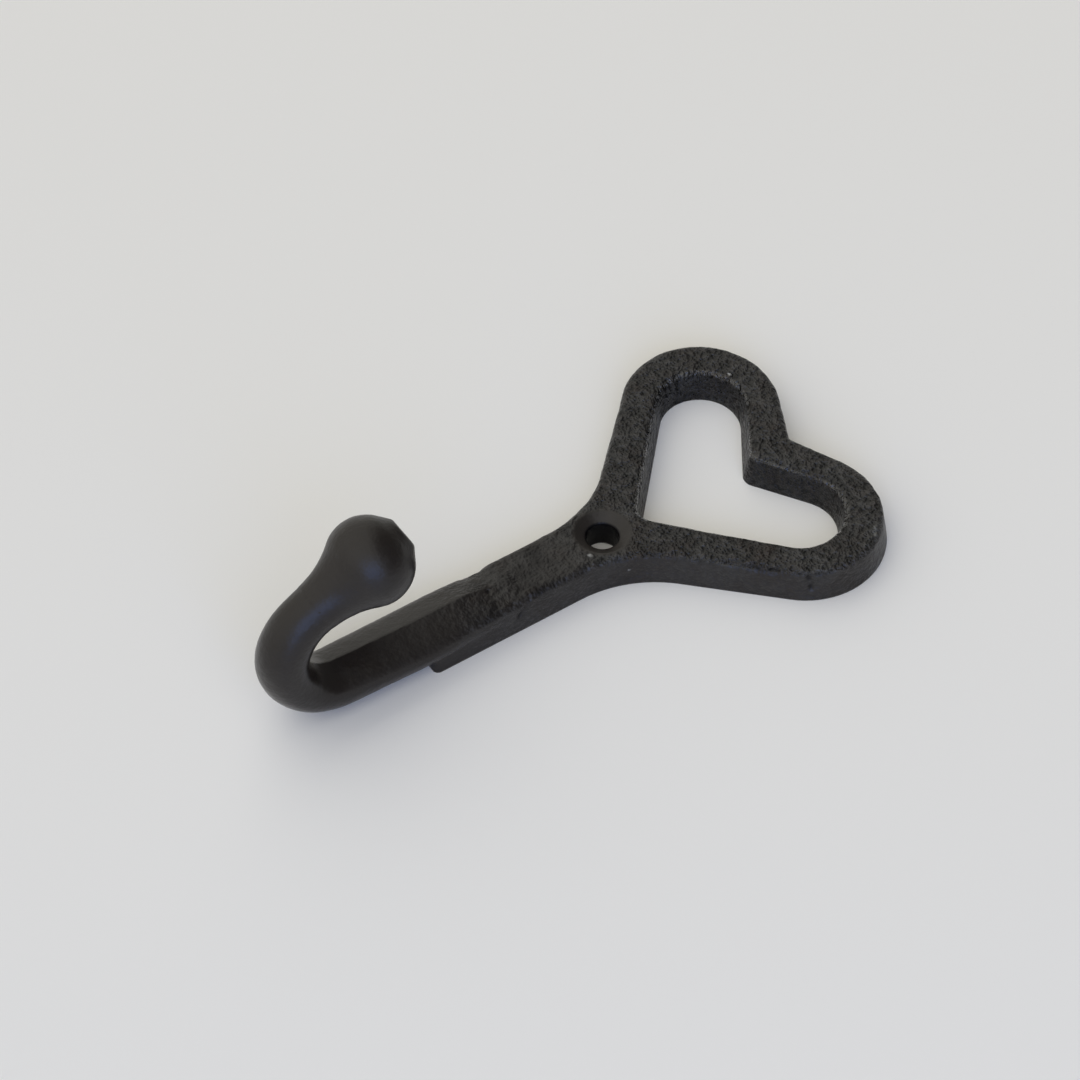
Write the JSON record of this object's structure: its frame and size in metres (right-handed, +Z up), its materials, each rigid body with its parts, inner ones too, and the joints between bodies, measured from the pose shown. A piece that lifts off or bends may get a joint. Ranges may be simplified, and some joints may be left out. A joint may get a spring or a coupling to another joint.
{
  "type": "wall hook",
  "caption": "Cast-iron wall hook: an open heart as back plate, a countersunk screw hole in the stem below it, and a bar that bends out from the wall and up to a rounded knob.",
  "frame": {"origin": "on the screw hole's axis, in the plane of the flat back that lies against the wall", "axes": "+Z up the wall towards the heart, -Y out of the wall into the room along the screw hole, +X along the wall"},
  "size_m": [0.0526, 0.0322, 0.0999],
  "materials": {
    "painted_casting": "sand-cast iron under thin near-black semi-gloss paint"
  },
  "bodies": {
    "root": {"heart_hook": "painted_casting"}
  },
  "joints": []
}
